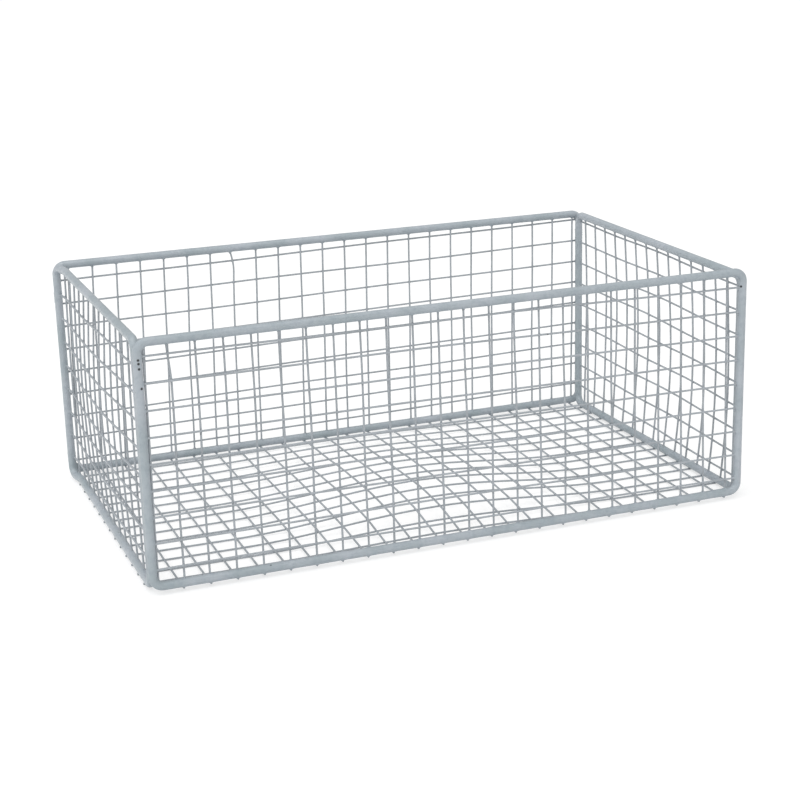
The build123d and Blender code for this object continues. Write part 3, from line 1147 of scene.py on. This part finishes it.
@dataclass
class BottomMesh:
    """The bottom's wires: along the depth under the front and back rails, and along the length under those.

    Depth wires are placed along the length from the left front post, length wires from the posts at their
    two ends. All sizes are in millimetres.
    """

    shift: Vector
    depth_fronts: Span = (20.5, 415.5)
    depth_backs: Span = (22.5, 423.5)
    depth_wires: int = 22
    edge_wire: Span = (437.1, 443.9)
    length_lefts: Span = (20.6, 6.9)
    length_rights: Span = (14.7, 12.4)
    length_wires: int = 14
    depth_tail: float = 0.8
    length_tail: float = 2.6
    depth_lift: float = 0.3
    length_nest: float = 0.25
    depth_points: int = 21
    length_points: int = 33
    sway: float = 0.55
    waves: float = 7.0
    landing: float = 4.0
    nugget_in: float = 0.9
    nugget_up: float = 0.35
    bulge: Bulge = Bulge()
    sway_seed: int = 5
    depth_seed: float = 41.0
    length_seed: float = 43.0
    nugget_seed: int = 9

    def wire(self, start: Vector, end: Vector, layer: float, count: int, lift: float,
             rng: random.Random) -> Line:
        """A bottom wire, slightly wavy, raised by the bulge and a little more at its ends.

        Args:
            start: Where it starts in the drawing.
            end: Where it ends in the drawing.
            layer: How far it lies under the rails' centre lines.
            count: How many points its guide has.
            lift: How much its ends are raised.
            rng: Source of the sway.

        Returns:
            The wire's guide.
        """
        phase = rng.uniform(*SWAY_START)
        sideways = (end - start).normalized().cross(UP)
        points = []
        for i, share in enumerate(spread(0.0, 1.0, count)):
            point = start.lerp(end, share)
            point = point + sideways * self.sway * math.sin(phase + self.waves * share) * hump(share)
            point.z = -layer + self.bulge.rise(point.x, point.y) + (lift if i in (0, count - 1) else 0.0)
            points.append((point + self.shift) * MM)
        return Line(points)

    def along_depth(self, rng: random.Random) -> List[Line]:
        """The wires from front to back."""
        fronts = spread(*self.depth_fronts, self.depth_wires) + [self.edge_wire[0]]
        backs = spread(*self.depth_backs, self.depth_wires) + [self.edge_wire[1]]
        start_x = -SIZE.front_length / 2
        lines = []
        for front, back in zip(fronts, backs):
            slant = Vector(((back - front) / SIZE.depth, 1.0, 0.0))
            middle = Vector((start_x + (front + back) / 2, 0.0, 0.0))
            reach = slant * (SIZE.depth / 2 + self.depth_tail)
            lines.append(self.wire(middle - reach, middle + reach, SIZE.inner_layer, self.depth_points,
                                   self.depth_lift, rng))
        return lines

    def along_length(self, basket: Basket, rng: random.Random) -> List[Line]:
        """The wires from the left rail to the right one, nested a trace into the layer above."""
        half = SIZE.depth / 2
        lefts, rights = (spread(front - half, half - back, self.length_wires)
                         for front, back in (self.length_lefts, self.length_rights))
        layer = SIZE.outer_layer - self.length_nest
        lines = []
        for left_y, right_y in zip(lefts, rights):
            start = Vector((basket.rail_x(Side.LEFT, left_y + self.shift.y) - self.shift.x, left_y, 0.0))
            end = Vector((basket.rail_x(Side.RIGHT, right_y + self.shift.y) - self.shift.x, right_y, 0.0))
            run = (end - start).normalized() * self.length_tail
            lines.append(self.wire(start - run, end + run, layer, self.length_points, 0.0, rng))
        return lines

    def build(self, basket: Basket, wardrobe: Wardrobe) -> None:
        """Make the bottom's wires and their spot welds.

        Args:
            basket: The basket with its panels, which notes where the wires land.
            wardrobe: The finishes and trees.
        """
        rng = random.Random(self.sway_seed)
        depths = self.along_depth(rng)
        lengths = self.along_length(basket, rng)
        crossings = [crossing(depth.points, length.points) for depth in depths for length in lengths]
        for line in depths + lengths:
            for end, inner in line.ends:
                run = (inner - end).normalized() * MM
                basket.land(end, end + run * self.landing)
                crossings.append(end + run * self.nugget_in + UP * self.nugget_up * MM)
        place(grow("bottom_wires_along_depth", guide_curves(depths), wardrobe.wires,
                   Seed=self.depth_seed, Finish=wardrobe.wire), "painted_wire", "bottom_depth_wires")
        place(grow("bottom_wires_along_length", guide_curves(lengths), wardrobe.wires,
                   Seed=self.length_seed, Finish=wardrobe.wire), "painted_wire", "bottom_length_wires")
        place(grow("bottom_spot_welds", guide_points(crossings), wardrobe.nuggets, Facing=tuple(UP),
                   Seed=self.nugget_seed, Finish=wardrobe.wire), "painted_wire")


@dataclass
class RodFrames:
    """The four bent rods, with paint raised where the wires land on them."""

    seed_step: float = 7.3

    @staticmethod
    def outline(wall: Panel) -> Line:
        """The frame's corners, with a knee in both rails where a post leans out of their plane.

        Args:
            wall: The frame's panel.

        Returns:
            The rod's guide.
        """
        knee = [SIZE.shoulder_run] if wall.shoulder else []
        places = [0.0, *knee, wall.length]
        corners = [(x, 0.0) for x in places] + [(x, wall.top(x)) for x in reversed(places)]
        return Line([wall.at(x, z, wall.set_out(x)) for x, z in corners], closed=True)

    def build(self, basket: Basket, wardrobe: Wardrobe) -> None:
        """Make the rods.

        Args:
            basket: The basket with its panels and landings.
            wardrobe: The finishes and trees.
        """
        points = [point for landing in basket.landings for point in landing]
        marks = guide_points(points, [(i, i + 1) for i in range(0, len(points), 2)])
        for number, (side, wall) in enumerate(basket.panels.items()):
            rod = grow(f"{side.value}_rod", guide_curves([self.outline(wall)]), wardrobe.rods,
                       Landings=marks, Seed=number * self.seed_step, Finish=wardrobe.rod)
            place(rod, "painted_rod", f"{side.value}_frame")
        bpy.data.objects.remove(marks)


@dataclass
class Welds:
    """The beads between neighbouring posts, and the paint that fills the seams beside them.

    The seat is how far a bead lies from the line between the posts, as a share of the rod's radius, and
    the seam lies at a share of the seat. All other sizes are in millimetres.
    """

    seat: float = 0.5
    bead_radius: float = 1.55
    bead_ripple: float = 0.2
    bead_points: int = 4
    bead_seeds: Span = (3.3, 10.0)
    seam_share: float = 0.7
    seam_foot: float = 7.0
    seam_head: float = 9.0
    seam_radius: float = 1.75
    seam_ripple: float = 0.08
    seam_lump: float = 8.0
    seam_lump_depth: float = 0.5
    seam_points: int = 12
    seam_seeds: Span = (4.1, 2.0)

    @staticmethod
    def pair(middle: Vector, reach: Vector, heights: Sequence[float]) -> List[Line]:
        """Two upright lines, one on each side of the line between two posts.

        Args:
            middle: Place halfway between the posts.
            reach: How far the lines lie from it, and which way.
            heights: The points' heights.

        Returns:
            The lines.
        """
        return [Line([(middle + reach * turn + UP * z) * MM for z in heights]) for turn in (-1, 1)]

    def build(self, basket: Basket, wardrobe: Wardrobe) -> None:
        """Make the beads and seams at the four corners.

        Args:
            basket: The basket with its corners.
            wardrobe: The finishes and trees.
        """
        neighbours = {"front_left": "left_front", "front_right": "right_front",
                      "back_left": "left_back", "back_right": "right_back"}
        foot = basket.shift.z + self.seam_foot
        head = basket.shift.z + SIZE.height - self.seam_head
        left = basket.panels[Side.LEFT]
        for number, (post, side_post) in enumerate(neighbours.items()):
            a, b = basket.corners[post], basket.corners[side_post]
            if side_post == "left_back":
                b = b + left.outward * left.shoulder
            across = Vector((b.x - a.x, b.y - a.y, 0.0))
            middle = Vector((a.x, a.y, 0.0)) + across / 2
            reach = across.cross(UP).normalized() * SIZE.rod_radius * self.seat
            for level in ("upper", "lower"):
                low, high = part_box(f"{post}_{level}_welds")
                beads = self.pair(middle, reach, spread(low.z / MM, high.z / MM, self.bead_points))
                bead = grow(f"{post}_{level}_weld_beads", guide_curves(beads), wardrobe.beads,
                            Radius=self.bead_radius * MM, Ripple_Depth=self.bead_ripple * MM,
                            Seed=number * self.bead_seeds[0] + low.z * self.bead_seeds[1],
                            Finish=wardrobe.weld)
                place(bead, "painted_weld", f"{post}_{level}_welds")
            seams = self.pair(middle, reach * self.seam_share, spread(foot, head, self.seam_points))
            seam = grow(f"{post}_painted_seam", guide_curves(seams), wardrobe.beads,
                        Radius=self.seam_radius * MM, Ripple_Depth=self.seam_ripple * MM,
                        Lump_Depth=self.seam_lump_depth * MM, Lump_Size=self.seam_lump * MM,
                        Seed=number * self.seam_seeds[0] + self.seam_seeds[1], Finish=wardrobe.weld)
            place(seam, "painted_weld")


# The studio


@dataclass(frozen=True)
class Lamp:
    """A soft square light, in metres and watts."""

    name: str
    place: Tuple[float, float, float]
    size: float
    power: float


@dataclass
class Studio:
    """White floor, soft light and the camera at the photograph's own angle.

    The camera's directions and its focal length in pixels were fitted to the photograph.
    """

    stand_point: Vector
    floor_size: float = 60.0
    paper: Tuple[str, str] = ("#FBFBFB", "#FDFDFC")
    paper_cloud: float = 400.0
    paper_roughness: float = 0.9
    ground: float = 1.2
    ground_share: float = 0.5
    lamps: Tuple[Lamp, ...] = (
        Lamp("overhead", (-0.3, -0.2, 1.9), 2.4, 7.3),
        Lamp("left", (-2.1, 0.1, 1.0), 1.4, 2.0),
    )
    lamps_aim: Tuple[float, float, float] = (0.0, 0.0, 0.08)
    sky: float = 0.52
    key: float = 1.37
    key_width: float = 75.0
    key_way: Tuple[float, float, float] = (0.45, 0.5, -1.0)
    picture_pixels: float = 800.0
    focal_pixels: float = 1728.0
    sensor: float = 36.0
    far_clip: float = 100.0
    picture_right: Tuple[float, float, float] = (0.93119, -0.36357, -0.02645)
    picture_up: Tuple[float, float, float] = (0.12658, 0.25444, 0.95877)

    def floor(self) -> None:
        """Lay a wide white floor under the basket."""
        mesh = bpy.data.meshes.new("floor")
        half = self.floor_size / 2
        square = [(-half, -half, 0), (half, -half, 0), (half, half, 0), (-half, half, 0)]
        mesh.from_pydata(square, [], [(0, 1, 2, 3)])
        floor = into_scene("floor", mesh)
        shader = Shader("White studio sweep")
        # Nearly white matt paper, a trace warmer in faint clouds, so the ground stays plain
        tone = shader.span(shader.clouds(self.paper_cloud), *SOFT)
        shader.wear({
            "Base Color": shader.mix(tone, *(linear(colour) for colour in self.paper)),
            "Roughness": self.paper_roughness,
            "Specular IOR Level": 0.0,
        })
        # What is seen of the floor is half lit paper and half plain white, so the ground stays white round
        # a soft shadow
        ray = shader.add("ShaderNodeLightPath").outputs
        seen = shader.math("MAXIMUM", ray["Is Glossy Ray"], ray["Is Transmission Ray"])
        seen = shader.math("MAXIMUM", seen, ray["Is Camera Ray"])
        seen = shader.math("MULTIPLY", seen, self.ground_share)
        white = shader.add("ShaderNodeEmission", {"Color": linear("#FFFFFF"), "Strength": self.ground})
        mixed = shader.add("ShaderNodeMixShader", {
            0: seen, 1: shader.surface.outputs[0], 2: white.outputs[0],
        })
        shader.feed(shader.output.inputs[0], mixed.outputs[0])
        mesh.materials.append(shader.material)

    def light(self) -> None:
        """Hang the lamps and light the room evenly from all round."""
        for lamp in self.lamps:
            data = bpy.data.lights.new(lamp.name, "AREA")
            data.shape = "SQUARE"
            data.size = lamp.size
            data.energy = lamp.power
            holder = into_scene(lamp.name, data)
            holder.location = lamp.place
            self.turn(holder, Vector(self.lamps_aim) - Vector(lamp.place))
        data = bpy.data.lights.new("wide window", "SUN")
        data.energy = self.key
        data.angle = math.radians(self.key_width)
        self.turn(into_scene("wide window", data), Vector(self.key_way))
        world = bpy.data.worlds.new("white room")
        bpy.context.scene.world = world
        world.use_nodes = True
        sky = world.node_tree.nodes["Background"]
        sky.inputs[0].default_value = linear("#FFFFFF")
        sky.inputs[1].default_value = self.sky

    @staticmethod
    def turn(light: bpy.types.Object, way: Vector) -> None:
        """Turn a light so that it shines that way."""
        light.rotation_euler = way.to_track_quat("-Z", "Y").to_euler()

    def camera(self) -> None:
        """Stand the camera where the photograph was taken from."""
        data = bpy.data.cameras.new("camera")
        data.sensor_fit = "HORIZONTAL"
        data.sensor_width = self.sensor
        data.lens = self.focal_pixels / self.picture_pixels * self.sensor
        data.clip_end = self.far_clip
        camera = into_scene("camera", data)
        right = Vector(self.picture_right).normalized()
        up = Vector(self.picture_up)
        up = (up - right * up.dot(right)).normalized()
        turned = Matrix((right, up, right.cross(up))).transposed().to_4x4()
        camera.matrix_world = Matrix.Translation(self.stand_point * MM) @ turned
        bpy.context.scene.camera = camera

    def set_up(self) -> None:
        """Set up floor, lights and camera, and show colours as they are."""
        self.floor()
        self.light()
        self.camera()
        bpy.context.scene.view_settings.view_transform = "Standard"


# Where the camera stands, in millimetres from the drawing's own origin
CAMERA_STAND = Vector((-448.36, -1192.75, 440.18))


def basket_shift() -> Vector:
    """Where the drawing's own origin lies in the shared frame, in millimetres."""
    low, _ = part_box("front_frame")
    corner = Vector((-SIZE.front_length / 2, -SIZE.depth / 2, 0)) - Vector((1, 1, 1)) * SIZE.rod_radius
    return low / MM - corner


def main() -> None:
    """Build the basket and its studio."""
    logging.basicConfig(level=logging.INFO, format="%(message)s")
    basket = Basket(basket_shift())
    rod_paint = replace(ROD_PAINT, pinholes=pits(basket))
    wardrobe = Wardrobe(painted(rod_paint), painted(WIRE_PAINT), painted(WELD_PAINT),
                        rod_tree(), wire_tree(), bead_tree(), nugget_tree())
    for side, mesh in wall_meshes(basket).items():
        mesh.build(side.value, basket, wardrobe)
    BottomMesh(basket.shift).build(basket, wardrobe)
    RodFrames().build(basket, wardrobe)
    Welds().build(basket, wardrobe)
    Studio(basket.shift + CAMERA_STAND).set_up()


if __name__ == "__main__":
    main()
